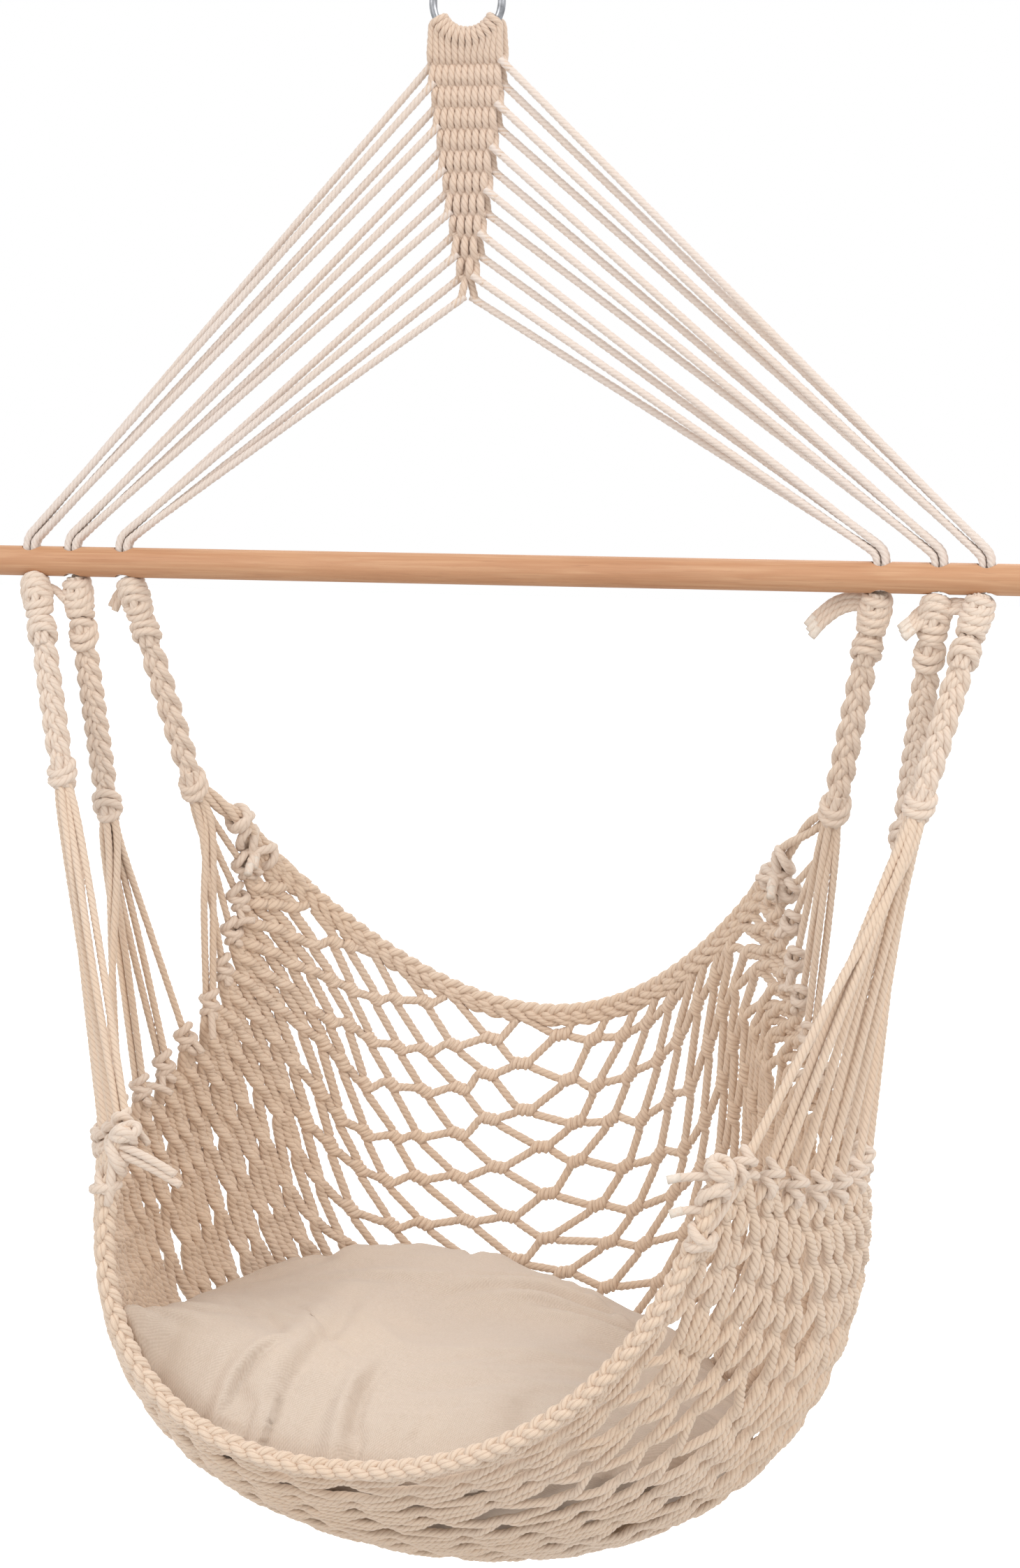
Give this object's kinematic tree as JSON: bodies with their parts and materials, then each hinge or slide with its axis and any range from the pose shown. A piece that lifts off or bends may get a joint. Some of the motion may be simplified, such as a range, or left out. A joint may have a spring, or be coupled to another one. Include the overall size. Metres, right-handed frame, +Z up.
{
  "type": "hammock chair",
  "caption": "Hanging hammock chair with a netted cotton rope seat, a loose cushion, a wooden spreader bar and a woven rope fan that hangs from a steel ring.",
  "frame": {"origin": "the point inside the top of the steel ring that rests on a hook", "axes": "+Z up, the seat faces -Y, and +X is to the right seen from the front"},
  "size_m": [0.8, 0.3985, 1.2032],
  "materials": {
    "cotton": "natural three-strand cotton rope",
    "wood": "smooth, clear matt oil",
    "steel": "zinc plated, worn satin",
    "canvas": "plain woven cotton canvas",
    "wadding": "loose fibre filling",
    "zip": "matt nylon coil"
  },
  "bodies": {
    "ring": {"hanging_ring": "steel"},
    "harness": {"woven_mat": "cotton", "fan_cord_left_1": "cotton", "fan_cord_left_2": "cotton", "fan_cord_left_3": "cotton", "fan_cord_left_4": "cotton", "fan_cord_left_5": "cotton", "fan_cord_left_6": "cotton", "fan_cord_left_7": "cotton", "fan_cord_left_8": "cotton", "fan_cord_left_9": "cotton", "fan_cord_left_10": "cotton", "fan_cord_left_11": "cotton", "fan_cord_left_12": "cotton", "fan_cord_right_1": "cotton", "fan_cord_right_2": "cotton", "fan_cord_right_3": "cotton", "fan_cord_right_4": "cotton", "fan_cord_right_5": "cotton", "fan_cord_right_6": "cotton", "fan_cord_right_7": "cotton", "fan_cord_right_8": "cotton", "fan_cord_right_9": "cotton", "fan_cord_right_10": "cotton", "fan_cord_right_11": "cotton", "fan_cord_right_12": "cotton", "spreader_bar": "wood"},
    "seat": {"bar_knot_left_front": "cotton", "bar_knot_left_middle": "cotton", "bar_knot_left_back": "cotton", "bar_knot_right_front": "cotton", "bar_knot_right_middle": "cotton", "bar_knot_right_back": "cotton", "braid_left_front": "cotton", "braid_left_middle": "cotton", "braid_left_back": "cotton", "braid_right_front": "cotton", "braid_right_middle": "cotton", "braid_right_back": "cotton", "lower_knot_left_front": "cotton", "lower_knot_left_middle": "cotton", "lower_knot_left_back": "cotton", "lower_knot_right_front": "cotton", "lower_knot_right_middle": "cotton", "lower_knot_right_back": "cotton", "suspension_cords_left_front": "cotton", "suspension_cords_left_middle": "cotton", "suspension_cords_left_back": "cotton", "suspension_cords_right_front": "cotton", "suspension_cords_right_middle": "cotton", "suspension_cords_right_back": "cotton", "seat_net": "cotton", "front_border_rope": "cotton", "back_border_rope": "cotton"},
    "cushion": {"cushion_cover": "canvas", "cushion_filling": "wadding", "cushion_zip": "zip"}
  },
  "joints": [
    {"name": "ring_swing", "type": "hinge", "parent": "ring", "child": "harness", "pos_m": [0, 0, -0.049], "axis": [1, 0, 0], "range_deg": [-15, 15]},
    {"name": "seat_swing", "type": "hinge", "parent": "harness", "child": "seat", "pos_m": [0.018, 0, -0.437], "axis": [1, 0, 0], "range_deg": [-15, 15]},
    {"name": "cushion_lift", "type": "slide", "parent": "seat", "child": "cushion", "axis": [0.0984, -0.1476, 0.9841], "range_m": [0, 0.45]}
  ]
}
